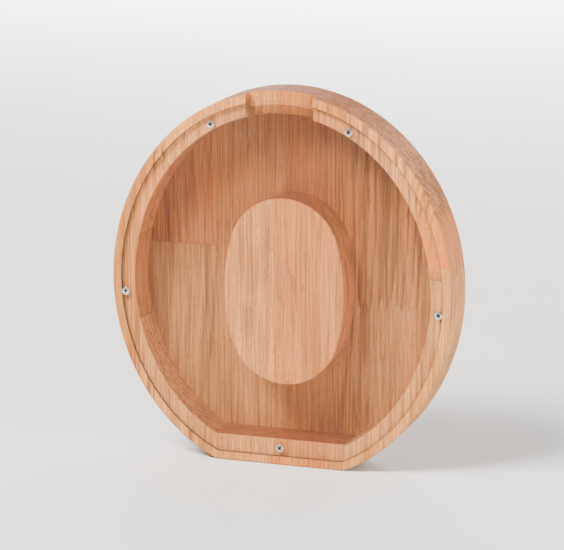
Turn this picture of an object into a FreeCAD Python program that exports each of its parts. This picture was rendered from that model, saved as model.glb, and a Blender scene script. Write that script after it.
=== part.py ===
import FreeCAD, Part
import math
import os

import Sketcher

# A wooden money box in the shape of a letter O.
#
# The box is one board, glued up from upright staves of hardwood, with finger joints where a
# stave is made of shorter pieces.  A router has cut three things into the board from the front:
# a shallow rebate for the window, the ring-shaped coin space around an oval island, and the
# coin slot at the top, which passes behind the window.  Five small screws hold the clear window.
#
# Frame: X to the right, Y from the front face to the back, Z up.  The origin is at the middle
# of the flat foot.

DOCUMENT = FreeCAD.newDocument("wooden_money_box")
VECTOR = FreeCAD.Vector

DRIVING_SIZES = [
    # alias, millimetres, what it is
    ("half_width", 103.0, "half the width of the elliptical outline"),
    ("half_height", 114.3, "half the height of the whole ellipse"),
    ("centre_height", 105.7, "height of the ellipse's centre above the flat foot"),
    ("board_depth", 30.0, "thickness of the glued board"),
    ("foot_corner", 8.0, "rounding where the ellipse meets the foot"),
    ("outer_rounding", 1.2, "rounding of the outer edges"),
    ("inner_chamfer", 0.5, "broken edges of the ledge and the island"),
    ("lip", 5.2, "width of the wooden lip outside the window"),
    ("window_depth", 2.0, "depth of the rebate and thickness of the window"),
    ("window_gap", 0.3, "clearance all round the window"),
    ("wall", 13.2, "thickness of the wall round the coin space"),
    ("bottom_wall", 15.3, "thickness of the wall at the foot"),
    ("floor_depth", 23.7, "depth of the coin space from the front face"),
    ("inner_corner", 6.0, "router radius in the coin space's lower corners"),
    ("island_half_width", 36.3, "half the width of the oval island"),
    ("island_half_height", 55.0, "half the height of the oval island"),
    ("island_end_radius", 33.0, "radius of the island's upper and lower ends"),
    ("island_x", 2.0, "island centre, to the right of the ellipse's centre"),
    ("island_z", -2.4, "island centre, above the ellipse's centre"),
    ("slot_length", 40.0, "length of the coin slot"),
    ("slot_width", 5.0, "width of the coin slot, behind the window"),
    ("seam_left_edge", -87.0, "glue line between the left edge stave and the left stave"),
    ("seam_left", -46.0, "glue line between the left and the middle left stave"),
    ("seam_middle", -3.7, "glue line between the middle left and the middle right stave"),
    ("seam_narrow_foot", 27.0, "foot end of the slanting glue line beside the narrow stave"),
    ("seam_narrow_top", 17.6, "top end of that glue line"),
    ("seam_right", 38.6, "glue line between the narrow and the right stave"),
    ("seam_right_edge", 80.0, "glue line between the right stave and the right edge stave"),
    ("joint_upper_left", 174.0, "height of the upper finger joint in the left stave"),
    ("joint_upper_left_x", -54.0, "middle of that joint's row of fingers, which starts in the rim"),
    ("joint_lower_left", 124.0, "height of the lower finger joint in the left stave"),
    ("joint_right", 95.5, "height of the finger joint in the right stave"),
    ("joint_right_edge", 121.0, "height of the finger joint in the right edge stave"),
    ("finger_pitch", 5.0, "distance between fingers"),
    ("finger_length", 9.0, "length of a finger"),
    ("finger_tip", 0.6, "width of a finger's blunt tip"),
    ("screw_upper_x", 41.4, "upper screws, left and right of the centre"),
    ("screw_upper_z", 93.7, "upper screws, above the ellipse's centre"),
    ("screw_side_x", 95.1, "side screws, left and right of the centre"),
    ("screw_side_z", -8.5, "side screws, above the ellipse's centre"),
    ("screw_foot_z", -95.5, "lower screw, above the ellipse's centre"),
    ("head_radius", 2.3, "screw head radius"),
    ("head_rim", 0.3, "straight rim of the screw head"),
    ("shank_radius", 1.1, "screw thread radius"),
    ("thread_root_radius", 0.8, "screw radius between the threads"),
    ("thread_pitch", 1.0, "distance between threads"),
    ("screw_length", 10.0, "screw length with its head"),
    ("hole_clearance", 0.08, "clearance round the screw in its holes"),
    ("recess_arm", 1.25, "length of each arm of the cross recess"),
    ("recess_width", 0.6, "width of the cross recess"),
    ("recess_depth", 1.1, "depth of the cross recess"),
]

THREAD_COUNT = 6
FINGERS_ACROSS_FACE = 10
FINGERS_THROUGH_BOARD = 8

# Millimetres.  Anything nearer than this counts as touching.
TOUCHING = 0.01


def make_sheet():
    """Write the driving sizes into a spreadsheet, one aliased row each."""
    sheet = DOCUMENT.addObject("Spreadsheet::Sheet", "Sizes")
    for row, (alias, number, meaning) in enumerate(DRIVING_SIZES, start=1):
        sheet.set("A%d" % row, str(number))
        sheet.setAlias("A%d" % row, alias)
        sheet.set("B%d" % row, meaning)
    DOCUMENT.recompute()
    return sheet


SHEET = make_sheet()


def size(expression):
    """The present value of an expression on the sheet's cells."""
    return float(SHEET.evalExpression(expression))


def bind(item, **expressions):
    """Bind properties to expressions; a double underscore in a name stands for a full stop."""
    for name, expression in expressions.items():
        item.setExpression(name.replace("__", "."), expression)


def new_body(name):
    return DOCUMENT.addObject("PartDesign::Body", name)


def new_sketch(body, name, plane, offset=None):
    """A sketch on one of the body's own planes, moved along the plane's normal by `offset`."""
    sketch = body.newObject("Sketcher::SketchObject", name)
    origin_plane = next(item for item in body.Origin.OriginFeatures if item.Role == plane)
    sketch.AttachmentSupport = [(origin_plane, "")]
    sketch.MapMode = "FlatFace"
    if offset:
        sketch.setExpression("AttachmentOffset.Base.z", offset)
    return sketch


def dimension(sketch, name, expression, kind, *points):
    """Add a dimension and bind it to the sheet."""
    index = sketch.addConstraint(Sketcher.Constraint(kind, *points, size(expression)))
    sketch.renameConstraint(index, name)
    sketch.setExpression("Constraints." + name, expression)


def draw_flat_ellipse(sketch, inset, flat_height):
    """The letter's outline moved inwards: an ellipse cut off by a level line near its foot."""
    across = "Sizes.half_width - (%s)" % inset
    upwards = "Sizes.half_height - (%s)" % inset
    level = size(flat_height)
    centre = VECTOR(0, size("Sizes.centre_height"), 0)
    top = centre + VECTOR(0, size(upwards), 0)
    side = centre - VECTOR(size(across), 0, 0)
    half_turn = math.acos((level - centre.y) / size(upwards))
    curve = Part.ArcOfEllipse(Part.Ellipse(top, side, centre), -half_turn, half_turn)
    arc = sketch.addGeometry(curve, False)
    sketch.exposeInternalGeometry(arc)
    major_axis = arc + 1
    minor_axis = arc + 2
    foot = sketch.addGeometry(Part.LineSegment(curve.EndPoint, curve.StartPoint), False)
    sketch.addConstraint(Sketcher.Constraint("Coincident", arc, 2, foot, 1))
    sketch.addConstraint(Sketcher.Constraint("Coincident", arc, 1, foot, 2))
    sketch.addConstraint(Sketcher.Constraint("Horizontal", foot))
    sketch.addConstraint(Sketcher.Constraint("Vertical", major_axis))
    sketch.addConstraint(Sketcher.Constraint("PointOnObject", arc, 3, -2))
    dimension(sketch, "width", "2 * (%s)" % across, "Distance", minor_axis)
    dimension(sketch, "height", "2 * (%s)" % upwards, "Distance", major_axis)
    dimension(sketch, "centre", "Sizes.centre_height", "DistanceY", -1, 1, arc, 3)
    if level > 0:
        dimension(sketch, "flat", flat_height, "DistanceY", -1, 1, foot, 1)
    else:
        sketch.addConstraint(Sketcher.Constraint("PointOnObject", foot, 1, -1))


def draw_island(sketch):
    """The oval island: two wide side arcs and two tighter end arcs, tangent to each other."""
    half_width = "Sizes.island_half_width"
    half_height = "Sizes.island_half_height"
    end_radius = "Sizes.island_end_radius"
    side_radius = "({w} * {w} + {t} * {t} - 2 * {t} * {r}) / (2 * ({w} - {r}))".format(
        w=half_width, t=half_height, r=end_radius)
    end_offset = size(half_height) - size(end_radius)
    side_offset = size(side_radius) - size(half_width)
    turn = math.atan2(end_offset, side_offset)
    middle = VECTOR(size("Sizes.island_x"), size("Sizes.centre_height + Sizes.island_z"), 0)

    def arc(shift, radius, start, end):
        circle = Part.Circle(middle + shift, VECTOR(0, 0, 1), radius)
        return sketch.addGeometry(Part.ArcOfCircle(circle, start, end), False)

    right = arc(VECTOR(-side_offset, 0, 0), size(side_radius), -turn, turn)
    upper = arc(VECTOR(0, end_offset, 0), size(end_radius), turn, math.pi - turn)
    left = arc(VECTOR(side_offset, 0, 0), size(side_radius), math.pi - turn, math.pi + turn)
    lower = arc(VECTOR(0, -end_offset, 0), size(end_radius), math.pi + turn, 2 * math.pi - turn)
    ring = [right, upper, left, lower]
    for first, second in zip(ring, ring[1:] + ring[:1]):
        sketch.addConstraint(Sketcher.Constraint("Tangent", first, 2, second, 1))
    sketch.addConstraint(Sketcher.Constraint("Equal", upper, lower))
    sketch.addConstraint(Sketcher.Constraint("Equal", left, right))
    dimension(sketch, "end_radius", end_radius, "Radius", upper)
    dimension(sketch, "side_radius", side_radius, "Radius", right)
    level = "Sizes.centre_height + Sizes.island_z"
    reach = "(%s - %s)" % (half_height, end_radius)
    dimension(sketch, "upper_x", "Sizes.island_x", "DistanceX", -1, 1, upper, 3)
    dimension(sketch, "upper_z", "%s + %s" % (level, reach), "DistanceY", -1, 1, upper, 3)
    dimension(sketch, "lower_x", "Sizes.island_x", "DistanceX", -1, 1, lower, 3)
    dimension(sketch, "lower_z", "%s - %s" % (level, reach), "DistanceY", -1, 1, lower, 3)


def draw_rectangle(sketch, left, right, low, high):
    """An upright rectangle whose four sides are bound to expressions."""
    corners = [VECTOR(size(x), size(z), 0)
               for x, z in ((left, low), (right, low), (right, high), (left, high))]
    lines = [sketch.addGeometry(Part.LineSegment(corners[i], corners[(i + 1) % 4]), False)
             for i in range(4)]
    for i in range(4):
        sketch.addConstraint(Sketcher.Constraint("Coincident", lines[i], 2, lines[(i + 1) % 4], 1))
        sketch.addConstraint(Sketcher.Constraint("Vertical" if i % 2 else "Horizontal", lines[i]))
    for name, expression, kind, line in (("left", left, "DistanceX", 0), ("low", low, "DistanceY", 0),
                                         ("right", right, "DistanceX", 2), ("high", high, "DistanceY", 2)):
        dimension(sketch, name, expression, kind, -1, 1, lines[line], 1)


def pad(body, sketch, name, length, midplane=False, reverse=False):
    feature = body.newObject("PartDesign::Pad", name)
    feature.Profile = sketch
    feature.Midplane = midplane
    feature.Reversed = reverse
    feature.setExpression("Length", length)
    return feature


def pocket(body, sketch, name, length):
    """Cut a pocket from the sketch into the material behind it, and check that it did cut."""
    DOCUMENT.recompute()
    volume_before = body.Shape.Volume
    feature = body.newObject("PartDesign::Pocket", name)
    feature.Profile = sketch
    feature.setExpression("Length", length)
    DOCUMENT.recompute()
    if body.Shape.Volume >= volume_before:
        raise RuntimeError("%s cut nothing" % name)


def dress_edges(body, kind, name, breadth, chosen):
    """Put a fillet or a chamfer on every edge of the body that `chosen` accepts."""
    DOCUMENT.recompute()
    base = body.Tip
    edges = ["Edge%d" % i for i, edge in enumerate(base.Shape.Edges, start=1) if chosen(edge)]
    feature = body.newObject("PartDesign::" + kind, name)
    feature.Base = (base, edges)
    feature.setExpression("Radius" if kind == "Fillet" else "Size", breadth)
    DOCUMENT.recompute()


def lies_at_depth(edge, depth):
    return all(abs(vertex.Point.y - depth) < TOUCHING for vertex in edge.Vertexes)


def middle_of(edge):
    return edge.valueAt((edge.FirstParameter + edge.LastParameter) / 2)


def is_across_board(edge):
    """True for a straight edge that runs from front to back."""
    ends = [vertex.Point for vertex in edge.Vertexes]
    return len(ends) == 2 and (ends[1] - ends[0]).cross(VECTOR(0, 1, 0)).Length < TOUCHING


def is_within_ellipse(point, inset):
    """True for a point inside the letter's whole ellipse moved inwards by `inset`, or on it."""
    across = point.x / (size("Sizes.half_width") - inset)
    upwards = (point.z - size("Sizes.centre_height")) / (size("Sizes.half_height") - inset)
    return math.hypot(across, upwards) < 1 + TOUCHING / size("Sizes.half_width")


SCREWS = [
    # name, distance from the centre plane, height above the ellipse's centre
    ("screw_top_left", "-Sizes.screw_upper_x", "Sizes.screw_upper_z"),
    ("screw_top_right", "Sizes.screw_upper_x", "Sizes.screw_upper_z"),
    ("screw_left", "-Sizes.screw_side_x", "Sizes.screw_side_z"),
    ("screw_right", "Sizes.screw_side_x", "Sizes.screw_side_z"),
    ("screw_bottom", "0", "Sizes.screw_foot_z"),
]


def draw_screw_circles(sketch, radius):
    for name, across, upwards in SCREWS:
        level = "Sizes.centre_height + " + upwards
        centre = VECTOR(size(across), size(level), 0)
        circle = sketch.addGeometry(Part.Circle(centre, VECTOR(0, 0, 1), size(radius)), False)
        dimension(sketch, name + "_radius", radius, "Radius", circle)
        dimension(sketch, name + "_z", level, "DistanceY", -1, 1, circle, 3)
        if centre.x:
            dimension(sketch, name + "_x", across, "DistanceX", -1, 1, circle, 3)
        else:
            sketch.addConstraint(Sketcher.Constraint("PointOnObject", circle, 3, -2))


def make_board():
    """The whole routed board, before it is divided into the staves it was glued from."""
    body = new_body("board")
    front = "Sizes.board_depth / 2"

    outline = new_sketch(body, "board_outline", "XZ_Plane")
    draw_flat_ellipse(outline, "0", "0")
    pad(body, outline, "board_pad", "Sizes.board_depth", midplane=True)

    rebate = new_sketch(body, "rebate_outline", "XZ_Plane", front)
    draw_flat_ellipse(rebate, "Sizes.lip", "Sizes.lip")
    pocket(body, rebate, "window_rebate", "Sizes.window_depth")

    space = new_sketch(body, "coin_space_outline", "XZ_Plane", front)
    draw_flat_ellipse(space, "Sizes.wall", "Sizes.bottom_wall")
    draw_island(space)
    pocket(body, space, "coin_space", "Sizes.floor_depth")

    slot = new_sketch(body, "coin_slot_outline", "XZ_Plane", front)
    draw_rectangle(slot, "-Sizes.slot_length / 2", "Sizes.slot_length / 2",
                   "Sizes.centre_height + Sizes.half_height - 2 * Sizes.wall",
                   "Sizes.centre_height + Sizes.half_height + Sizes.wall")
    pocket(body, slot, "coin_slot", "Sizes.window_depth + Sizes.slot_width")

    holes = new_sketch(body, "pilot_holes", "XZ_Plane", front)
    draw_screw_circles(holes, "Sizes.shank_radius + Sizes.hole_clearance")
    pocket(body, holes, "screw_holes", "Sizes.screw_length + Sizes.window_gap")

    round_board(body)
    return body


def round_board(body):
    """Round the board's corners between front and back, then soften the edges along its faces."""
    lip = size("Sizes.lip")
    bottom_wall = size("Sizes.bottom_wall")
    front_face = -size("Sizes.board_depth") / 2
    back_face = size("Sizes.board_depth") / 2
    ledge = front_face + size("Sizes.window_depth")
    slot_side = size("Sizes.slot_length") / 2

    def foot_corner(edge):
        height = middle_of(edge).z
        return is_across_board(edge) and (abs(height) < TOUCHING or abs(height - lip) < TOUCHING)

    def coin_space_corner(edge):
        return is_across_board(edge) and abs(middle_of(edge).z - bottom_wall) < TOUCHING

    def outer_edge(edge):
        point = middle_of(edge)
        inside_lip = is_within_ellipse(point, lip / 2) and point.z > lip / 2
        beside_slot = abs(abs(point.x) - slot_side) < TOUCHING
        at_front = lies_at_depth(edge, front_face) and not inside_lip and not beside_slot
        return at_front or lies_at_depth(edge, back_face)

    def ledge_or_island_edge(edge):
        point = middle_of(edge)
        is_hole = edge.isClosed()
        at_coin_space = is_within_ellipse(point, size("Sizes.wall")) and point.z > bottom_wall - TOUCHING
        return lies_at_depth(edge, ledge) and at_coin_space and not is_hole

    dress_edges(body, "Fillet", "foot_corners", "Sizes.foot_corner", foot_corner)
    dress_edges(body, "Fillet", "coin_space_corners", "Sizes.inner_corner", coin_space_corner)
    dress_edges(body, "Fillet", "outer_edges", "Sizes.outer_rounding", outer_edge)
    dress_edges(body, "Chamfer", "inner_edges", "Sizes.inner_chamfer", ledge_or_island_edge)


# ------------------------------------------------------------------ staves

def make_slab(name, left, right):
    """The space between two glue lines.  Each line is given by its x at the foot and at the top."""
    slab = DOCUMENT.addObject("Part::Wedge", name)
    bind(slab, Xmin=left[0], X2min=left[1], Xmax=right[0], X2max=right[1],
         Ymin="0", Ymax="Sizes.centre_height + Sizes.half_height + Sizes.lip",
         Zmin="-Sizes.board_depth", Z2min="-Sizes.board_depth",
         Zmax="Sizes.board_depth", Z2max="Sizes.board_depth")
    slab.Placement = FreeCAD.Placement(VECTOR(0, 0, 0), FreeCAD.Rotation(VECTOR(1, 0, 0), 90))
    return slab


def make_finger_comb(name, height, centre_x, across_face):
    """Everything above a finger joint: a block with a row of fingers pointing down.

    The fingers stand side by side across the board's face, or else through its thickness.
    """
    body = new_body(name)
    fingers = FINGERS_ACROSS_FACE if across_face else FINGERS_THROUGH_BOARD
    block = new_sketch(body, name + "_block_outline", "XZ_Plane")
    span = "%d * Sizes.finger_pitch" % fingers
    finger_depth = "%d * Sizes.finger_pitch" % FINGERS_ACROSS_FACE
    draw_rectangle(block, "-(%s) / 2" % span, "(%s) / 2" % span,
                   "Sizes.finger_length / 2", "Sizes.half_height + Sizes.half_width")
    pad(body, block, name + "_block", finger_depth, midplane=True)

    finger = new_sketch(body, name + "_finger_outline", "XZ_Plane")
    draw_finger(finger, "-(%s) / 2" % span)
    first = pad(body, finger, name + "_first_finger", finger_depth, midplane=True)

    row = body.newObject("PartDesign::LinearPattern", name + "_fingers")
    row.Originals = [first]
    direction = next(item for item in body.Origin.OriginFeatures if item.Role == "X_Axis")
    row.Direction = (direction, [""])
    row.Occurrences = fingers
    row.setExpression("Length", "%d * Sizes.finger_pitch" % (fingers - 1))
    body.Tip = row
    turn = 0 if across_face else 90
    body.Placement = FreeCAD.Placement(VECTOR(0, 0, 0), FreeCAD.Rotation(VECTOR(0, 0, 1), turn))
    bind(body, Placement__Base__x=centre_x, Placement__Base__z=height)
    return body


def draw_finger(sketch, left):
    """One tapering finger below the block, drawn from its upper left corner."""
    pitch = "Sizes.finger_pitch"
    tip = "Sizes.finger_tip"
    half_length = "Sizes.finger_length / 2"
    places = [
        (left, half_length),
        ("%s + (%s - %s) / 2" % (left, pitch, tip), "-" + half_length),
        ("%s + (%s + %s) / 2" % (left, pitch, tip), "-" + half_length),
        ("%s + %s" % (left, pitch), half_length),
    ]
    corners = [VECTOR(size(x), size(z), 0) for x, z in places]
    for i in range(4):
        sketch.addGeometry(Part.LineSegment(corners[i], corners[(i + 1) % 4]), False)
    for i in range(4):
        sketch.addConstraint(Sketcher.Constraint("Coincident", i, 2, (i + 1) % 4, 1))
    for i, (x, z) in enumerate(places):
        dimension(sketch, "corner_%d_x" % i, x, "DistanceX", -1, 1, i, 1)
        dimension(sketch, "corner_%d_z" % i, z, "DistanceY", -1, 1, i, 1)


def boolean(kind, name, base, tool):
    result = DOCUMENT.addObject("Part::" + kind, name)
    result.Base = base
    result.Tool = tool
    return result


def upright(seam):
    return ("Sizes." + seam, "Sizes." + seam)


OUTER_LEFT = ("-Sizes.half_width - Sizes.lip",) * 2
OUTER_RIGHT = ("Sizes.half_width + Sizes.lip",) * 2
SLANTING = ("Sizes.seam_narrow_foot", "Sizes.seam_narrow_top")

COLUMNS = [
    # name of the column, its left and right glue lines
    ("stave_left_edge", OUTER_LEFT, upright("seam_left_edge")),
    ("stave_left", upright("seam_left_edge"), upright("seam_left")),
    ("stave_middle_left", upright("seam_left"), upright("seam_middle")),
    ("stave_middle_right", upright("seam_middle"), SLANTING),
    ("stave_narrow", SLANTING, upright("seam_right")),
    ("stave_right", upright("seam_right"), upright("seam_right_edge")),
    ("stave_right_edge", upright("seam_right_edge"), OUTER_RIGHT),
]


def make_staves(board):
    """Divide the board into its staves, and those with finger joints into their pieces."""
    columns = {}
    for name, left, right in COLUMNS:
        slab = make_slab("slab_" + name, left, right)
        columns[name] = boolean("Common", "whole_" + name, board, slab)

    left_middle = "(Sizes.seam_left_edge + Sizes.seam_left) / 2"
    right_middle = "(Sizes.seam_right + Sizes.seam_right_edge) / 2"
    edge_middle = "(Sizes.seam_right_edge + Sizes.half_width) / 2"
    upper_left = make_finger_comb("comb_upper_left", "Sizes.joint_upper_left",
                                  "Sizes.joint_upper_left_x", True)
    lower_left = make_finger_comb("comb_lower_left", "Sizes.joint_lower_left", left_middle, False)
    right = make_finger_comb("comb_right", "Sizes.joint_right", right_middle, True)
    right_edge = make_finger_comb("comb_right_edge", "Sizes.joint_right_edge", edge_middle, False)

    left_stave = columns["stave_left"]
    left_below = boolean("Cut", "left_below_upper_joint", left_stave, upper_left)
    return {
        "stave_left_edge": columns["stave_left_edge"],
        "stave_left_top": boolean("Common", "left_top", left_stave, upper_left),
        "stave_left_middle": boolean("Common", "left_middle", left_below, lower_left),
        "stave_left_bottom": boolean("Cut", "left_bottom", left_below, lower_left),
        "stave_middle_left": columns["stave_middle_left"],
        "stave_middle_right": columns["stave_middle_right"],
        "stave_narrow": columns["stave_narrow"],
        "stave_right_top": boolean("Common", "right_top", columns["stave_right"], right),
        "stave_right_bottom": boolean("Cut", "right_bottom", columns["stave_right"], right),
        "stave_right_edge_top":
            boolean("Common", "right_edge_top", columns["stave_right_edge"], right_edge),
        "stave_right_edge_bottom":
            boolean("Cut", "right_edge_bottom", columns["stave_right_edge"], right_edge),
    }


# ------------------------------------------------------------------ window and screws

def make_window():
    """The clear window, flush with the front face, with a countersunk hole for each screw."""
    body = new_body("window")
    front = "Sizes.board_depth / 2"
    inset = "Sizes.lip + Sizes.window_gap"
    outline = new_sketch(body, "window_outline", "XZ_Plane", front)
    draw_flat_ellipse(outline, inset, inset)
    pad(body, outline, "window_sheet", "Sizes.window_depth", reverse=True)

    holes = new_sketch(body, "window_holes", "XZ_Plane", front)
    draw_screw_circles(holes, "Sizes.shank_radius + Sizes.hole_clearance")
    pocket(body, holes, "window_screw_holes", "Sizes.window_depth")

    for name, across, upwards in SCREWS:
        seat = new_sketch(body, name + "_seat_profile", "XY_Plane", "Sizes.centre_height + " + upwards)
        draw_countersink(seat, across)
        cone = body.newObject("PartDesign::Groove", name + "_seat")
        cone.Profile = seat
        cone.ReferenceAxis = (seat, ["Axis0"])
        cone.Angle = 360
    return body


def draw_countersink(sketch, across):
    """Half section of the seat under a screw head, on a construction line along the screw."""
    head = "Sizes.head_radius + Sizes.hole_clearance"
    hole = "Sizes.shank_radius + Sizes.hole_clearance"
    face = "-Sizes.board_depth / 2"
    places = [
        (across, face),
        ("%s + %s" % (across, head), face),
        ("%s + %s" % (across, head), face + " + Sizes.head_rim"),
        ("%s + %s" % (across, hole), face + " + Sizes.head_rim + Sizes.head_radius - Sizes.shank_radius"),
        (across, face + " + Sizes.head_rim + Sizes.head_radius - Sizes.shank_radius"),
    ]
    draw_half_section(sketch, places)


def draw_half_section(sketch, places):
    """A closed polygon whose corners are bound to the sheet, and an axis line along its first side."""
    corners = [VECTOR(size(x), size(y), 0) for x, y in places]
    count = len(corners)
    for i in range(count):
        sketch.addGeometry(Part.LineSegment(corners[i], corners[(i + 1) % count]), False)
    for i in range(count):
        sketch.addConstraint(Sketcher.Constraint("Coincident", i, 2, (i + 1) % count, 1))
    for i, (x, y) in enumerate(places):
        for axis, expression, kind in (("x", x, "DistanceX"), ("y", y, "DistanceY")):
            if abs(size(expression)) > TOUCHING:
                dimension(sketch, "corner_%d_%s" % (i, axis), expression, kind, -1, 1, i, 1)
            else:
                line = -2 if axis == "x" else -1
                sketch.addConstraint(Sketcher.Constraint("PointOnObject", i, 1, line))
    axis_line = sketch.addGeometry(Part.LineSegment(corners[0], corners[-1]), True)
    sketch.addConstraint(Sketcher.Constraint("Coincident", axis_line, 1, 0, 1))
    sketch.addConstraint(Sketcher.Constraint("Coincident", axis_line, 2, count - 1, 1))


def make_screw(name, across, upwards):
    """A countersunk wood screw with a cross recess.  Its axis is the body's own Y axis."""
    body = new_body(name)
    profile = new_sketch(body, name + "_profile", "XY_Plane")
    neck = "Sizes.head_rim + Sizes.head_radius - Sizes.shank_radius"
    places = [
        ("0", "0"),
        ("Sizes.head_radius", "0"),
        ("Sizes.head_radius", "Sizes.head_rim"),
        ("Sizes.shank_radius", neck),
    ]
    for turn in range(THREAD_COUNT):
        valley = "%s + %g * Sizes.thread_pitch" % (neck, turn + 0.5)
        crest = "%s + %g * Sizes.thread_pitch" % (neck, turn + 1)
        places.append(("Sizes.thread_root_radius", valley))
        places.append(("Sizes.shank_radius", crest))
    places.append(("0", "Sizes.screw_length"))
    draw_half_section(profile, places)
    turned = body.newObject("PartDesign::Revolution", name + "_turned")
    turned.Profile = profile
    turned.ReferenceAxis = (profile, ["V_Axis"])
    turned.Angle = 360

    cross = new_sketch(body, name + "_cross", "XZ_Plane")
    draw_cross(cross)
    pocket(body, cross, name + "_recess", "Sizes.recess_depth")
    bind(body, Placement__Base__x=across,
         Placement__Base__y="-Sizes.board_depth / 2",
         Placement__Base__z="Sizes.centre_height + " + upwards)
    return body


def draw_cross(sketch):
    """The cross recess: twelve corners, walked round from the upper arm."""
    arm = "Sizes.recess_arm"
    half = "Sizes.recess_width / 2"
    quarter = [(half, arm), (half, half), (arm, half)]
    places = []
    for sign_x, sign_z, corners in ((1, 1, quarter), (1, -1, quarter[::-1]),
                                    (-1, -1, quarter), (-1, 1, quarter[::-1])):
        for x, z in corners:
            places.append(("%d * %s" % (sign_x, x), "%d * %s" % (sign_z, z)))
    corners = [VECTOR(size(x), size(z), 0) for x, z in places]
    count = len(corners)
    for i in range(count):
        sketch.addGeometry(Part.LineSegment(corners[i], corners[(i + 1) % count]), False)
    for i in range(count):
        sketch.addConstraint(Sketcher.Constraint("Coincident", i, 2, (i + 1) % count, 1))
    for i, (x, z) in enumerate(places):
        dimension(sketch, "corner_%d_x" % i, x, "DistanceX", -1, 1, i, 1)
        dimension(sketch, "corner_%d_z" % i, z, "DistanceY", -1, 1, i, 1)


# ------------------------------------------------------------------ build, check and write

def check_document():
    """Stop if any object failed to compute."""
    DOCUMENT.recompute()
    for item in DOCUMENT.Objects:
        if "Invalid" in item.State or "Error" in item.State:
            raise RuntimeError("%s is in state %s" % (item.Name, item.State))


def write_nodes(nodes):
    os.makedirs("parts", exist_ok=True)
    for label, item in nodes.items():
        item.Label = label
        shape = item.Shape
        if shape.isNull() or not shape.isValid() or len(shape.Solids) != 1:
            raise RuntimeError("%s: %d solids, valid %s" % (label, len(shape.Solids), shape.isValid()))
    for label, item in nodes.items():
        item.Shape.exportStep("parts/%s.step" % label)
        box = item.Shape.BoundBox
        print("%-26s %9.1f mm3   x %.1f..%.1f  y %.1f..%.1f  z %.1f..%.1f" % (
            label, item.Shape.Volume, box.XMin, box.XMax, box.YMin, box.YMax, box.ZMin, box.ZMax))


BOARD = make_board()
NODES = make_staves(BOARD)
NODES["front_window"] = make_window()
for screw_name, screw_across, screw_upwards in SCREWS:
    NODES[screw_name] = make_screw(screw_name, screw_across, screw_upwards)
check_document()
write_nodes(NODES)
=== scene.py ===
import math

import bmesh
import bpy
from mathutils import Matrix, Vector


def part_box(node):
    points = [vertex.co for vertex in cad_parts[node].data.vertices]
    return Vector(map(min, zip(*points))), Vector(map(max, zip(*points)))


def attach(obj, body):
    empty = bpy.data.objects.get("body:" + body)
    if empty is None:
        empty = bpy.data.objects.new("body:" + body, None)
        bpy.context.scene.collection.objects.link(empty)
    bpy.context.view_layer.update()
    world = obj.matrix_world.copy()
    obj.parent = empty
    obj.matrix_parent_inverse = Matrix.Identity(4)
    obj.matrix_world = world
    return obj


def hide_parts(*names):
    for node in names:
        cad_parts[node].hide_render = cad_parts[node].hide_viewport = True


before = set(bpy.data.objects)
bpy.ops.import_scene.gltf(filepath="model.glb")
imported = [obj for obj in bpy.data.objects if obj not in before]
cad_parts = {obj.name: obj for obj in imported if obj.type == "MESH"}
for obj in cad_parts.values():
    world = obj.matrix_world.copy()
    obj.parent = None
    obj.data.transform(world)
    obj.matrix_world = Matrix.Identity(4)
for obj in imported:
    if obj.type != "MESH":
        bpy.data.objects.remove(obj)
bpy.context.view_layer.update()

MM = 0.001

# ------------------------------------------------------------------ the box's own sizes, in mm

BOARD_FRONT = -15.0
LEDGE = -13.0
CENTRE_HEIGHT = 105.7
FLOOR_HALF_WIDTH = 95.0
FLOOR_HALF_HEIGHT = 106.0
FINGER_PITCH = 5.0
FINGER_LENGTH = 9.0
FINGER_TIP = 0.6
FINGER_SLOPE = (FINGER_PITCH - FINGER_TIP) / 2 / FINGER_LENGTH
SEAM_TOP = 225.2

# Each glue line: x at the foot, x at the height SEAM_TOP.
SEAMS = {
    "left_edge": (-87.0, -87.0),
    "left": (-46.0, -46.0),
    "middle": (-3.7, -3.7),
    "narrow": (27.0, 17.6),
    "right": (38.6, 38.6),
    "right_edge": (80.0, 80.0),
}

# Each finger joint: the axis its fingers stand along, the middle of one finger, the joint's height.
JOINTS = {
    "upper_left": ("X", -76.5, 174.0),
    "lower_left": ("Y", -17.5, 124.0),
    "right": ("X", 36.8, 95.5),
    "right_edge": ("Y", -17.5, 121.0),
}

GLUE_HALF_WIDTH = 0.26

# ------------------------------------------------------------------ wood tones
# Each tint multiplies a colour or a stave's dark tone, channel by channel.

VESSEL_TINT = (0.55, 0.46, 0.41)
FLECK_TINT = (0.62, 0.52, 0.45)
GLUE_TINT = (0.42, 0.34, 0.28)
# Floor tints: the routed floor's darker tone together with painted shade, deeper at the top.
LOW_FLOOR_ROUTED_AND_SHADE_TINT = (0.66, 0.64, 0.63)
HIGH_FLOOR_ROUTED_AND_SHADE_TINT = (0.54, 0.44, 0.34)
END_GRAIN_TINT = (0.42, 0.33, 0.34)
# How much paler rounded edges get, for the painted edge highlight and a little rubbed wear.
EDGE_HIGHLIGHT_AND_RUB_GAIN = 1.12


# ------------------------------------------------------------------ shader helper

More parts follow.
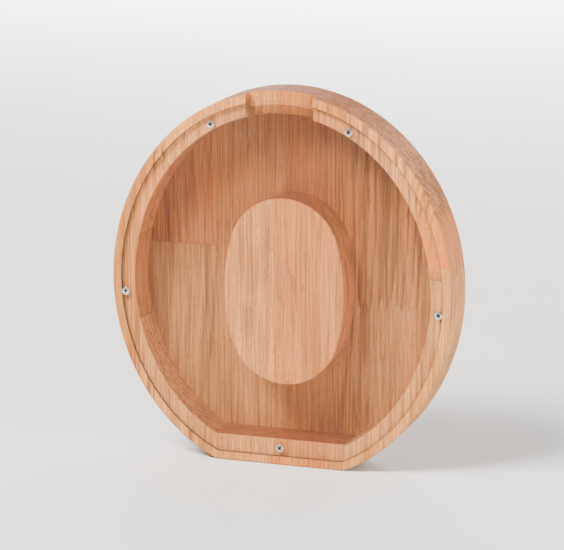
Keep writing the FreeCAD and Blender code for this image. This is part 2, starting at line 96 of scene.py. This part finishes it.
class Shader:
    """A material with one Principled shader, and short ways to add the nodes that feed it."""

    def __init__(self, name):
        self.material = bpy.data.materials.new(name)
        self.material.use_nodes = True
        self.tree = self.material.node_tree
        self.principled = self.tree.nodes["Principled BSDF"]
        self.coordinates = self.add("ShaderNodeTexCoord")
        self.millimetres = self.vector("SCALE", self.coordinates.outputs["Object"], scale=1 / MM)
        self.x, self.y, self.z = self.split(self.millimetres)

    def add(self, kind, **settings):
        node = self.tree.nodes.new(kind)
        for key, value in settings.items():
            setattr(node, key, value)
        return node

    def feed(self, socket, value):
        if isinstance(value, bpy.types.NodeSocket):
            self.tree.links.new(value, socket)
        else:
            socket.default_value = value

    def maths(self, operation, *values, clamp=False):
        node = self.add("ShaderNodeMath", operation=operation, use_clamp=clamp)
        for socket, value in zip(node.inputs, values):
            self.feed(socket, value)
        return node.outputs[0]

    def vector(self, operation, first, second=None, scale=None):
        node = self.add("ShaderNodeVectorMath", operation=operation)
        self.feed(node.inputs[0], first)
        if second is not None:
            self.feed(node.inputs[1], second)
        if scale is not None:
            self.feed(node.inputs["Scale"], scale)
        return node.outputs[0]

    def split(self, vector):
        node = self.add("ShaderNodeSeparateXYZ")
        self.feed(node.inputs[0], vector)
        return node.outputs

    def square(self, value):
        return self.maths("POWER", self.maths("ABSOLUTE", value), 2.0)

    def noise(self, vector, stretch, offset=(0, 0, 0), detail=3.0, roughness=0.5, colour=False):
        """Noise of the position in mm, with a different frequency along each axis."""
        placed = self.vector("MULTIPLY", self.vector("ADD", vector, offset), stretch)
        node = self.add("ShaderNodeTexNoise")
        self.feed(node.inputs["Vector"], placed)
        self.feed(node.inputs["Scale"], 1.0)
        self.feed(node.inputs["Detail"], detail)
        self.feed(node.inputs["Roughness"], roughness)
        return node.outputs["Color" if colour else "Fac"]

    def remap(self, value, low, high, to_low=0.0, to_high=1.0, smooth=True):
        node = self.add("ShaderNodeMapRange", interpolation_type="SMOOTHSTEP" if smooth else "LINEAR")
        ends = (("From Min", low), ("From Max", high), ("To Min", to_low), ("To Max", to_high))
        for name, number in ends:
            self.feed(node.inputs[name], number)
        self.feed(node.inputs["Value"], value)
        return node.outputs["Result"]

    def mix(self, factor, first, second, blend="MIX"):
        node = self.add("ShaderNodeMix", data_type="RGBA", blend_type=blend, clamp_factor=True)
        self.feed(node.inputs[0], factor)
        self.feed(node.inputs[6], first)
        self.feed(node.inputs[7], second)
        return node.outputs[2]

    def near(self, distance, half_width):
        """1 where a distance in mm is nothing, falling smoothly to 0 at half_width."""
        return self.remap(self.maths("ABSOLUTE", distance), half_width, 0.0)

    def within(self, value, low, high, soft):
        rise = self.remap(value, low - soft, low + soft)
        fall = self.remap(value, high + soft, high - soft)
        return self.maths("MULTIPLY", rise, fall)

    def bump(self, height, strength, distance_mm):
        node = self.add("ShaderNodeBump")
        self.feed(node.inputs["Strength"], strength)
        self.feed(node.inputs["Distance"], distance_mm * MM)
        self.feed(node.inputs["Height"], height)
        self.feed(self.principled.inputs["Normal"], node.outputs["Normal"])


# ------------------------------------------------------------------ wood

def rgb(red, green, blue):
    return (red, green, blue, 1.0)


def tinted(tone, tint):
    return rgb(*[channel * share for channel, share in zip(tone, tint)])


def seam_distance(shader, seam):
    foot, top = SEAMS[seam]
    across = shader.maths("SUBTRACT", shader.x, foot)
    if foot == top:
        return across
    drift = shader.maths("MULTIPLY", shader.z, (top - foot) / SEAM_TOP)
    return shader.maths("SUBTRACT", across, drift)


def finger_line(shader, joint):
    """The thin glue line of a finger joint, on whichever surface it comes out."""
    axis, middle, height = JOINTS[joint]
    along = shader.x if axis == "X" else shader.y
    from_middle = shader.maths("PINGPONG", shader.maths("SUBTRACT", along, middle), FINGER_PITCH / 2)
    above_tip = shader.maths("SUBTRACT", shader.z, height - FINGER_LENGTH / 2)
    flank = shader.maths("MULTIPLY_ADD", above_tip, FINGER_SLOPE, FINGER_TIP / 2)
    line = shader.near(shader.maths("SUBTRACT", from_middle, flank), GLUE_HALF_WIDTH)
    span = shader.within(shader.z, height - FINGER_LENGTH / 2, height + FINGER_LENGTH / 2, 0.15)
    return shader.maths("MULTIPLY", line, span)


def stroke(shader, mark):
    """A soft dark stroke in the grain, from one point of the face to another."""
    low_x, low_z, high_x, high_z, half_width, strength = mark
    slope = (high_x - low_x) / (high_z - low_z)
    course = shader.maths("MULTIPLY_ADD", shader.z, slope, low_x - slope * low_z)
    sideways = shader.maths("SUBTRACT", shader.x, course)
    wander = shader.noise(shader.millimetres, (0.02, 0.02, 0.09), (low_x, 3.0, low_z), 2.0)
    wander = shader.remap(wander, 0.3, 0.7, -1.1, 1.1, smooth=False)
    line = shader.near(shader.maths("ADD", sideways, wander), half_width)
    span = shader.within(shader.z, low_z, high_z, 4.0)
    return shader.maths("MULTIPLY", shader.maths("MULTIPLY", line, span), strength)


def make_wood(name, wood):
    shader = Shader("wood_" + name)
    place = shader.millimetres
    seed = wood["seed"]
    offset = (seed * 37.1, seed * 11.3, seed * 71.7)

    # The growth rings run round a pith that leans a little, so that the face shows long arches.
    sway = shader.noise(place, (0.018, 0.018, 0.006), offset, 2.0, 0.5, colour=True)
    sway = shader.vector("SCALE", shader.vector("SUBTRACT", sway, (0.5, 0.5, 0.5)), scale=wood["sway"])
    bent_x, bent_y, bent_z = shader.split(shader.vector("ADD", place, sway))
    pith_x, pith_y, lean = wood["pith"]
    lean_shift = shader.maths("MULTIPLY", shader.maths("SUBTRACT", bent_z, 110.0), lean)
    from_pith_x = shader.maths("SUBTRACT", shader.maths("SUBTRACT", bent_x, pith_x), lean_shift)
    from_pith_y = shader.maths("SUBTRACT", bent_y, pith_y)
    radius = shader.maths("SQRT", shader.maths("ADD", shader.square(from_pith_x),
                                               shader.square(from_pith_y)))
    rings = shader.maths("FRACT", shader.maths("DIVIDE", radius, wood["ring_gap"]))
    late_wood = shader.maths("MULTIPLY", shader.remap(rings, 0.35, 0.93), shader.remap(rings, 1.0, 0.93))
    ring_years = shader.noise(place, (0.05, 0.05, 0.004), offset, 2.0)
    late_wood = shader.maths("MULTIPLY", late_wood, shader.remap(ring_years, 0.35, 0.65, 0.35, 1.0))

    fibres = shader.noise(place, (0.75, 0.75, 0.022), offset, 3.0, 0.6)
    fibres = shader.remap(fibres, 0.36, 0.64, smooth=False)
    streaks = shader.noise(place, (0.22, 0.22, 0.006), offset, 3.0, 0.6)
    streaks = shader.remap(streaks, 0.35, 0.65, smooth=False)
    vessels = shader.noise(place, (1.45, 1.45, 0.022), offset, 3.0, 0.6)
    vessels = shader.remap(vessels, 0.48, 0.60)
    clouds = shader.noise(place, (0.035, 0.035, 0.012), offset, 2.0)
    clouds = shader.remap(clouds, 0.35, 0.65, smooth=False)
    rays = shader.noise(place, (1.5, 1.5, 0.33), offset, 3.0, 0.5)
    rays = shader.remap(rays, 0.57, 0.70)

    # How dark the wood is here, 0 to 1.
    dark = shader.maths("MULTIPLY", late_wood, wood["ring"])
    for pattern, share in ((fibres, wood["fibre"]), (streaks, wood["streak"]), (clouds, wood["cloud"])):
        swing = shader.maths("MULTIPLY", shader.maths("SUBTRACT", pattern, 0.5), share)
        dark = shader.maths("ADD", dark, swing)
    dark = shader.maths("ADD", dark, 0.30, clamp=True)
    light_tone = wood["light"]
    dark_tone = wood["dark"]
    colour = shader.mix(dark, rgb(*light_tone), rgb(*dark_tone))
    colour = shader.mix(shader.maths("MULTIPLY", vessels, wood["vessel"]), colour,
                        rgb(*VESSEL_TINT), "MULTIPLY")

    fleck_tone = tinted(dark_tone, FLECK_TINT)
    colour = shader.mix(shader.maths("MULTIPLY", rays, wood["fleck"]), colour, fleck_tone)

    for mark in wood.get("marks", ()):
        colour = shader.mix(stroke(shader, mark), colour, fleck_tone)
    if "patch" in wood:
        low, high, tone, strength = wood["patch"]
        area = shader.within(shader.z, low, high, 3.0)
        ragged = shader.noise(place, (0.12, 0.12, 0.03), offset, 3.0)
        area = shader.maths("MULTIPLY", area, shader.remap(ragged, 0.40, 0.55, 0.35, strength))
        colour = shader.mix(area, colour, rgb(*tone))
        dots = shader.noise(place, (1.1, 1.1, 0.45), (5.0, 9.0, 2.0), 2.0)
        dots = shader.maths("MULTIPLY", shader.remap(dots, 0.60, 0.70), area)
        colour = shader.mix(shader.maths("MULTIPLY", dots, 0.7), colour, fleck_tone)

    # The routed floor is rougher than the sanded faces, and darker in tone; on top of that tone it
    # carries painted shade, since the pocket is dim and the floor under the top wall lies in shadow. Its
    # walls get less of both.
    normal_y, normal_z = shader.split(shader.coordinates.outputs["Normal"])[1:]
    facing = shader.square(normal_y)
    across = shader.square(shader.maths("DIVIDE", shader.x, FLOOR_HALF_WIDTH))
    above_centre = shader.maths("SUBTRACT", shader.z, CENTRE_HEIGHT)
    upwards = shader.square(shader.maths("DIVIDE", above_centre, FLOOR_HALF_HEIGHT))
    inside = shader.remap(shader.maths("ADD", across, upwards), 1.02, 0.98)
    routed = shader.maths("MULTIPLY", inside, shader.remap(shader.y, LEDGE + 0.4, LEDGE + 1.2))
    # Painted shade: the floor is darkened more and more towards the top, where the top wall shadows it.
    painted_shade_towards_top = shader.remap(shader.z, 70.0, 195.0, 0.85, 1.45, smooth=False)
    routed = shader.maths("MULTIPLY", routed, painted_shade_towards_top)
    routed = shader.maths("MULTIPLY", routed, shader.remap(facing, 0.0, 1.0, 0.30, 1.0))
    # Routed tone and painted shade: the floor's tint turns darker and more orange towards the top, under
    # the top wall.
    darkening = shader.mix(shader.remap(shader.z, 60.0, 185.0), rgb(*LOW_FLOOR_ROUTED_AND_SHADE_TINT), rgb(*HIGH_FLOOR_ROUTED_AND_SHADE_TINT))
    colour = shader.mix(shader.maths("MULTIPLY", routed, wood["routed"]), colour, darkening, "MULTIPLY")

    # End grain drinks more oil: the top and the foot are darker than the faces.
    colour = shader.mix(shader.square(normal_z), colour, rgb(*END_GRAIN_TINT), "MULTIPLY")

    # Rounded edges are painted a little paler: a painted highlight along them, and a little rubbed wear.
    edge_highlight_and_rub = shader.maths("MULTIPLY", facing, shader.maths("SUBTRACT", 1.0, facing))
    colour = shader.mix(shader.maths("MULTIPLY", edge_highlight_and_rub, 0.7), colour,
                        rgb(*[min(1.0, channel * EDGE_HIGHLIGHT_AND_RUB_GAIN) for channel in light_tone]))

    # Glue lines.
    glue_tone = tinted(dark_tone, GLUE_TINT)
    lines = None
    for seam, half_width in wood["seams"]:
        line = shader.near(seam_distance(shader, seam), half_width)
        lines = line if lines is None else shader.maths("MAXIMUM", lines, line)
    broken = shader.remap(shader.noise(place, (0.3, 0.3, 0.06), offset, 3.0), 0.35, 0.60, 0.08, 0.55)
    sanded = shader.remap(shader.y, -11.0, -13.5, 1.0, 0.45)
    lines = shader.maths("MULTIPLY", shader.maths("MULTIPLY", lines, broken), sanded)
    colour = shader.mix(lines, colour, glue_tone)
    for joint in wood.get("joints", ()):
        line = shader.maths("MULTIPLY", finger_line(shader, joint), 0.40)
        colour = shader.mix(line, colour, glue_tone)

    shader.feed(shader.principled.inputs["Base Color"], colour)
    shader.feed(shader.principled.inputs["Specular IOR Level"], 0.07)
    roughness = shader.remap(fibres, 0.0, 1.0, 0.48, 0.66, smooth=False)
    shader.feed(shader.principled.inputs["Roughness"], roughness)
    height = shader.maths("SUBTRACT", fibres, shader.maths("MULTIPLY", rays, 0.4))
    height = shader.maths("SUBTRACT", height, lines)
    shader.bump(height, 0.20, 0.10)
    return shader.material


def wood(light, dark, seed, pith, seams, **changes):
    """A stave's recipe: its tones, its pith (x, y, lean) and its glue lines (seam, half width)."""
    recipe = {
        "light": light, "dark": dark, "seed": seed, "pith": pith, "sway": 16.0, "ring_gap": 4.2,
        "ring": 0.50, "fibre": 0.75, "streak": 0.65, "cloud": 0.35, "fleck": 0.65, "vessel": 0.62,
        # The routed amount sets how much the floor is darkened, for its routed tone and for painted
        # shade.
        "routed": 0.85, "seams": seams,
    }
    recipe.update(changes)
    return recipe


# A mark is (x, z) of its lower end, (x, z) of its upper end, half width, strength.
WOODS = {
    "stave_left_edge": wood(
        (0.639, 0.251, 0.067), (0.418, 0.148, 0.040), 1, (-150.0, 60.0, 0.05), [("left_edge", 0.28)]),
    "stave_left_top": wood(
        (0.841, 0.352, 0.102), (0.425, 0.166, 0.051), 2, (-140.0, 50.0, 0.05),
        [("left_edge", 0.28), ("left", 0.30)], joints=["upper_left"],
        marks=[(-76.5, 168.0, -75.5, 184.0, 1.6, 0.9), (-71.5, 172.0, -71.0, 186.0, 1.2, 0.8)],
        routed=0.75),
    "stave_left_middle": wood(
        (0.822, 0.306, 0.085), (0.410, 0.136, 0.040), 3, (-150.0, 60.0, -0.05),
        [("left_edge", 0.28), ("left", 0.30)], joints=["upper_left", "lower_left"], routed=0.95),
    "stave_left_bottom": wood(
        (0.775, 0.341, 0.105), (0.392, 0.158, 0.050), 4, (-130.0, 80.0, 0.06),
        [("left_edge", 0.28), ("left", 0.30)], joints=["lower_left"]),
    "stave_middle_left": wood(
        (0.803, 0.334, 0.102), (0.434, 0.170, 0.054), 5, (-30.0, 140.0, 0.06),
        [("left", 0.30), ("middle", 0.30)], ring=0.25, streak=0.40, fibre=0.60, fleck=0.85,
        marks=[(-27.0, 176.0, -27.4, 195.0, 0.9, 0.6), (-20.2, 202.0, -20.2, 214.0, 0.9, 0.9)],
        routed=0.95),
    "stave_middle_right": wood(
        (0.746, 0.255, 0.066), (0.434, 0.160, 0.048), 6, (14.0, 120.0, -0.16),
        [("middle", 0.30), ("narrow", 0.50)], ring=0.30, streak=0.40, fibre=0.60, fleck=0.85,
        marks=[(11.0, 92.0, 4.2, 122.0, 0.9, 0.55), (4.2, 118.0, 3.2, 147.0, 0.7, 0.45),
               (15.5, 62.0, 11.2, 94.0, 0.8, 0.45), (9.4, 106.0, 8.2, 113.0, 1.6, 0.55)], routed=0.95),
    "stave_narrow": wood(
        (0.724, 0.270, 0.078), (0.374, 0.146, 0.048), 7, (60.0, 50.0, 0.03),
        [("narrow", 0.60), ("right", 0.30)], ring_gap=3.0, streak=0.8, fibre=0.9, vessel=0.65,
        marks=[(23.4, 135.0, 23.0, 141.5, 0.8, 0.8)], routed=1.0),
    "stave_right_top": wood(
        (0.915, 0.384, 0.127), (0.413, 0.174, 0.063), 8, (20.0, 60.0, 0.04),
        [("right", 0.30), ("right_edge", 0.28)], joints=["right"],
        streak=0.9, fibre=0.9, ring=0.8, ring_gap=3.4, vessel=0.65,
        marks=[(46.0, 150.0, 46.2, 205.0, 0.8, 0.6), (57.0, 100.0, 57.4, 160.0, 0.6, 0.35)], routed=0.90),
    "stave_right_bottom": wood(
        (0.812, 0.364, 0.120), (0.451, 0.181, 0.057), 9, (60.0, 130.0, 0.10),
        [("right", 0.30), ("right_edge", 0.28)], joints=["right"], routed=0.70),
    "stave_right_edge_top": wood(
        (0.804, 0.326, 0.090), (0.401, 0.148, 0.040), 10, (110.0, -46.0, 0.30), [("right_edge", 0.28)],
        joints=["right_edge"], ring=1.2, streak=1.2, vessel=0.7,
        patch=(121.0, 153.0, (0.760, 0.225, 0.050), 0.95)),
    "stave_right_edge_bottom": wood(
        (0.838, 0.373, 0.114), (0.451, 0.184, 0.059), 11, (130.0, 40.0, 0.02), [("right_edge", 0.28)],
        joints=["right_edge"], streak=0.75),
}

for name, recipe in WOODS.items():
    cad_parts[name].data.materials[0] = make_wood(name, recipe)


# ------------------------------------------------------------------ window

def make_acrylic():
    """Clear sheet: nearly all light passes, with a faint uneven film and hairline scratches."""
    shader = Shader("clear_acrylic")
    film = shader.noise(shader.millimetres, (0.03, 0.03, 0.03), (0, 0, 0), 3.0)
    hairlines = shader.noise(shader.millimetres, (2.5, 0.4, 0.06), (3.0, 1.0, 8.0), 2.0)
    hairlines = shader.remap(hairlines, 0.70, 0.74)
    presence = shader.remap(film, 0.3, 0.7, 0.016, 0.032, smooth=False)
    presence = shader.maths("ADD", presence, shader.maths("MULTIPLY", hairlines, 0.03))
    shader.feed(shader.principled.inputs["Base Color"], rgb(0.30, 0.32, 0.31))
    shader.feed(shader.principled.inputs["Alpha"], presence)
    shader.feed(shader.principled.inputs["IOR"], 1.49)
    shader.feed(shader.principled.inputs["Roughness"], shader.remap(film, 0.3, 0.7, 0.05, 0.12))
    shader.material.surface_render_method = "BLENDED"
    return shader.material


def make_sawn_edge_with_gap_shade():
    """The sheet's cut edge, frosted, and painted dark brown for the shade in the thin gap between the
    sheet and the wood around it.
    """
    shader = Shader("sawn_acrylic_edge_gap_shade")
    cuts = shader.noise(shader.millimetres, (0.8, 4.0, 0.8), (2, 2, 2), 3.0, 0.6)
    # Painted shade: the dark brown tone stands for the shaded gap round the sheet.
    tone = shader.mix(shader.remap(cuts, 0.3, 0.7), rgb(0.10, 0.085, 0.06), rgb(0.22, 0.18, 0.12))
    shader.feed(shader.principled.inputs["Base Color"], tone)
    shader.feed(shader.principled.inputs["Alpha"], shader.remap(cuts, 0.3, 0.7, 0.75, 0.45))
    shader.feed(shader.principled.inputs["Roughness"], 0.55)
    shader.material.surface_render_method = "BLENDED"
    return shader.material


LEDGE_CLEARANCE = 0.04
EDGE_FACE = 0.5


def make_window(material, edge_material):
    """The window sheet, with its rear face a hair in front of the ledge that it rests on."""
    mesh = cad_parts["front_window"].data.copy()
    for vertex in mesh.vertices:
        if abs(vertex.co.y / MM - LEDGE) < LEDGE_CLEARANCE:
            vertex.co.y = (LEDGE - LEDGE_CLEARANCE) * MM
    mesh.materials.clear()
    mesh.materials.append(material)
    mesh.materials.append(edge_material)
    for polygon in mesh.polygons:
        if abs(polygon.normal.y) < EDGE_FACE:
            polygon.material_index = 1
    window = bpy.data.objects.new("visual_window", mesh)
    bpy.context.collection.objects.link(window)
    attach(window, "window")
    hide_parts("front_window")


make_window(make_acrylic(), make_sawn_edge_with_gap_shade())


# ------------------------------------------------------------------ screws

HEAD_RADIUS = 2.3
HEAD_RIM = 0.3
SHANK_RADIUS = 1.1
ROOT_RADIUS = 0.8
SCREW_LENGTH = 10.0
THREAD_PITCH = 1.0
DOME = 0.32
RECESS_REACH = 1.65
RECESS_DEPTH = 1.30
TIP_TAPER = 2.4
TIP_RADIUS = 0.03
TIP_GAP = 0.05
AROUND = 72
HEAD_RINGS = 26
THREAD_RINGS = 66


def smooth_step(low, high, value):
    share = min(1.0, max(0.0, (value - low) / (high - low)))
    return share * share * (3 - 2 * share)


def recess_depth(across, upwards):
    """Depth of the cross recess: two tapering arms, deepest in the middle."""
    far = max(abs(across), abs(upwards))
    side = min(abs(across), abs(upwards))
    arm_half = 0.46 - 0.12 * far / RECESS_REACH
    inside_arm = 1 - smooth_step(arm_half - 0.05, arm_half + 0.07, side)
    inside_reach = 1 - smooth_step(RECESS_REACH - 0.30, RECESS_REACH, far)
    return RECESS_DEPTH * inside_arm * inside_reach * (1 - 0.35 * far / RECESS_REACH)


def screw_rings():
    """For each ring of the screw's surface: a function from an angle to (radius, depth)."""
    rings = []
    for i in range(1, HEAD_RINGS + 1):
        radius = HEAD_RADIUS * i / HEAD_RINGS

        def head(angle, radius=radius):
            dome = -DOME * (1 - (radius / HEAD_RADIUS) ** 2)
            sunk = recess_depth(radius * math.cos(angle), radius * math.sin(angle))
            return radius, dome + sunk
        rings.append(head)
    neck = HEAD_RIM + HEAD_RADIUS - SHANK_RADIUS
    rings.append(lambda angle: (HEAD_RADIUS, HEAD_RIM))
    rings.append(lambda angle: (SHANK_RADIUS, neck))
    tip_start = SCREW_LENGTH - TIP_TAPER
    for i in range(1, THREAD_RINGS + 1):
        depth = neck + (SCREW_LENGTH - neck - TIP_GAP) * i / THREAD_RINGS

        def thread(angle, depth=depth):
            turn = (depth / THREAD_PITCH - angle / math.tau) % 1.0
            crest = max(0.0, 1 - abs(turn - 0.5) * 4.0)
            fade = smooth_step(neck, neck + 0.8, depth)
            taper = 1 - smooth_step(tip_start, SCREW_LENGTH, depth)
            radius = ROOT_RADIUS + (SHANK_RADIUS - ROOT_RADIUS) * (crest * fade + (1 - fade))
            return max(TIP_RADIUS, radius * taper), depth
        rings.append(thread)
    return rings


def make_screw(node, material, head_turn):
    """A domed cross-recess screw with a spiral thread, in place of its CAD node."""
    low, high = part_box(node)
    centre_x = (low[0] + high[0]) / 2
    centre_z = (low[2] + high[2]) / 2
    face_y = BOARD_FRONT * MM
    mesh = bpy.data.meshes.new("visual_" + node)
    work = bmesh.new()

    def vertex(radius, depth, angle):
        place = angle + head_turn
        return work.verts.new((centre_x + radius * MM * math.cos(place), face_y + depth * MM,
                               centre_z + radius * MM * math.sin(place)))

    top = vertex(0.0, -DOME + RECESS_DEPTH, 0.0)
    previous = None
    for ring in screw_rings():
        current = []
        for i in range(AROUND):
            angle = math.tau * i / AROUND
            radius, depth = ring(angle)
            current.append(vertex(radius, depth, angle))
        for i in range(AROUND):
            j = (i + 1) % AROUND
            if previous is None:
                work.faces.new((top, current[i], current[j]))
            else:
                work.faces.new((previous[j], previous[i], current[i], current[j]))
        previous = current
    tip = vertex(0.0, SCREW_LENGTH, 0.0)
    for i in range(AROUND):
        work.faces.new((previous[(i + 1) % AROUND], previous[i], tip))
    bmesh.ops.recalc_face_normals(work, faces=work.faces)
    for face in work.faces:
        face.smooth = True
    work.to_mesh(mesh)
    work.free()
    mesh.materials.append(material)
    screw = bpy.data.objects.new("visual_" + node, mesh)
    bpy.context.collection.objects.link(screw)
    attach(screw, node)
    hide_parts(node)


def make_nickel():
    """Bright nickel plate with faint turning marks and patches of grey tarnish, with painted shade, near
    black, in its cross recess.
    """
    shader = Shader("nickel")
    scratches = shader.noise(shader.millimetres, (3.0, 3.0, 9.0), (1, 2, 3), 4.0, 0.6)
    darkening = shader.noise(shader.millimetres, (0.8, 0.8, 0.8), (7, 2, 3), 3.0)
    depth = shader.remap(shader.y, BOARD_FRONT - 0.15, BOARD_FRONT + 0.35)
    stained = shader.remap(darkening, 0.35, 0.75, 0.0, 0.6)
    colour = shader.mix(stained, rgb(0.70, 0.71, 0.71), rgb(0.50, 0.49, 0.47))
    # Painted shade: near black in the cross recess and on the shank behind the front face.
    colour = shader.mix(depth, colour, rgb(0.07, 0.055, 0.045))
    shader.feed(shader.principled.inputs["Base Color"], colour)
    shader.feed(shader.principled.inputs["Metallic"], 1.0)
    shader.feed(shader.principled.inputs["Roughness"], shader.remap(scratches, 0.3, 0.7, 0.22, 0.40))
    shader.bump(scratches, 0.15, 0.02)
    return shader.material


NICKEL = make_nickel()
# How far each screw is driven round, in radians.
HEAD_TURNS = {
    "screw_top_left": 0.30, "screw_top_right": 0.75, "screw_left": 0.10,
    "screw_right": 0.55, "screw_bottom": 0.85,
}
for screw_node, head_turn in HEAD_TURNS.items():
    make_screw(screw_node, NICKEL, head_turn)


# ------------------------------------------------------------------ stage, light and camera

def make_stage():
    """A pale floor that sweeps up into a backdrop far behind the box."""
    half_width = 6.0
    reach = 4.0
    sweep = 1.5
    sweep_steps = 8
    backdrop_height = 5.0
    mesh = bpy.data.meshes.new("floor")
    work = bmesh.new()
    profile = [(-reach, 0.0), (reach, 0.0)]
    for i in range(1, sweep_steps + 1):
        angle = math.pi / 2 * i / sweep_steps
        profile.append((reach + sweep * math.sin(angle), sweep - sweep * math.cos(angle)))
    profile.append((reach + sweep, backdrop_height))
    rows = [(work.verts.new((-half_width, y, z)), work.verts.new((half_width, y, z)))
            for y, z in profile]
    for (left, right), (next_left, next_right) in zip(rows, rows[1:]):
        work.faces.new((left, right, next_right, next_left))
    for face in work.faces:
        face.smooth = True
    work.to_mesh(mesh)
    work.free()
    shader = Shader("pale_floor")
    grain = shader.noise(shader.millimetres, (0.02, 0.02, 0.02), (0, 0, 0), 3.0)
    tone = shader.mix(shader.remap(grain, 0.3, 0.7), rgb(0.87, 0.90, 0.93), rgb(0.89, 0.92, 0.95))
    shader.feed(shader.principled.inputs["Base Color"], tone)
    shader.feed(shader.principled.inputs["Roughness"], 0.9)
    mesh.materials.append(shader.material)
    floor = bpy.data.objects.new("floor", mesh)
    bpy.context.collection.objects.link(floor)


def make_area_light(name, place, aim, width, watts, tint):
    light = bpy.data.lights.new(name, "AREA")
    light.shape = "SQUARE"
    light.size = width
    light.energy = watts
    light.color = tint
    lamp = bpy.data.objects.new(name, light)
    lamp.location = place
    lamp.rotation_euler = (Vector(aim) - Vector(place)).to_track_quat("-Z", "Y").to_euler()
    bpy.context.collection.objects.link(lamp)


def make_camera():
    """The camera stands to the right of the box and above it, and looks at it from far away."""
    azimuth = math.radians(18.98)
    elevation = math.radians(13.54)
    roll = math.radians(-0.12)
    distance = 1.7157
    aim = Vector((0.0, BOARD_FRONT * MM, CENTRE_HEIGHT * MM))
    sensor_width = 36.0
    lens = 190.531915
    off_centre = Vector((-0.00095477, -0.00461642))

    level = math.cos(elevation)
    towards = Vector((math.sin(azimuth) * level, -math.cos(azimuth) * level, math.sin(elevation)))
    forward = -towards
    right = forward.cross(Vector((0, 0, 1))).normalized()
    up = right.cross(forward)
    right, up = (math.cos(roll) * right + math.sin(roll) * up,
                 math.cos(roll) * up - math.sin(roll) * right)
    forward = (forward - off_centre.x * right - off_centre.y * up).normalized()
    right = (right - right.dot(forward) * forward).normalized()
    up = right.cross(forward)

    data = bpy.data.cameras.new("camera")
    data.sensor_fit = "HORIZONTAL"
    data.sensor_width = sensor_width
    data.lens = lens
    data.clip_start = 0.05
    data.clip_end = 50.0
    camera = bpy.data.objects.new("camera", data)
    turn = Matrix((right, up, -forward)).transposed()
    camera.matrix_world = Matrix.Translation(aim + distance * towards) @ turn.to_4x4()
    bpy.context.collection.objects.link(camera)
    bpy.context.scene.camera = camera


def make_world():
    """Dim warm light from all round."""
    world = bpy.data.worlds.new("studio")
    world.use_nodes = True
    background = world.node_tree.nodes["Background"]
    background.inputs["Color"].default_value = (1.0, 0.96, 0.90, 1.0)
    background.inputs["Strength"].default_value = 0.24
    bpy.context.scene.world = world


make_stage()
make_world()
BOX_MIDDLE = (0, 0, 0.11)
KEY_TINT = (1.0, 0.93, 0.84)
FILL_TINT = (1.0, 0.92, 0.83)
BACKDROP_TINT = (1.0, 0.96, 0.92)
make_area_light("key", (-0.58, -0.80, 1.36), BOX_MIDDLE, 0.60, 66.0, KEY_TINT)
make_area_light("fill", (1.5, -0.9, 0.55), BOX_MIDDLE, 1.0, 26.0, FILL_TINT)
make_area_light("back_left", (-1.0, 2.5, 1.2), (-0.8, 2.8, 0.0), 1.2, 190.0, BACKDROP_TINT)
make_area_light("back_right", (1.0, 2.5, 1.2), (0.8, 2.8, 0.0), 1.2, 190.0, BACKDROP_TINT)
make_camera()
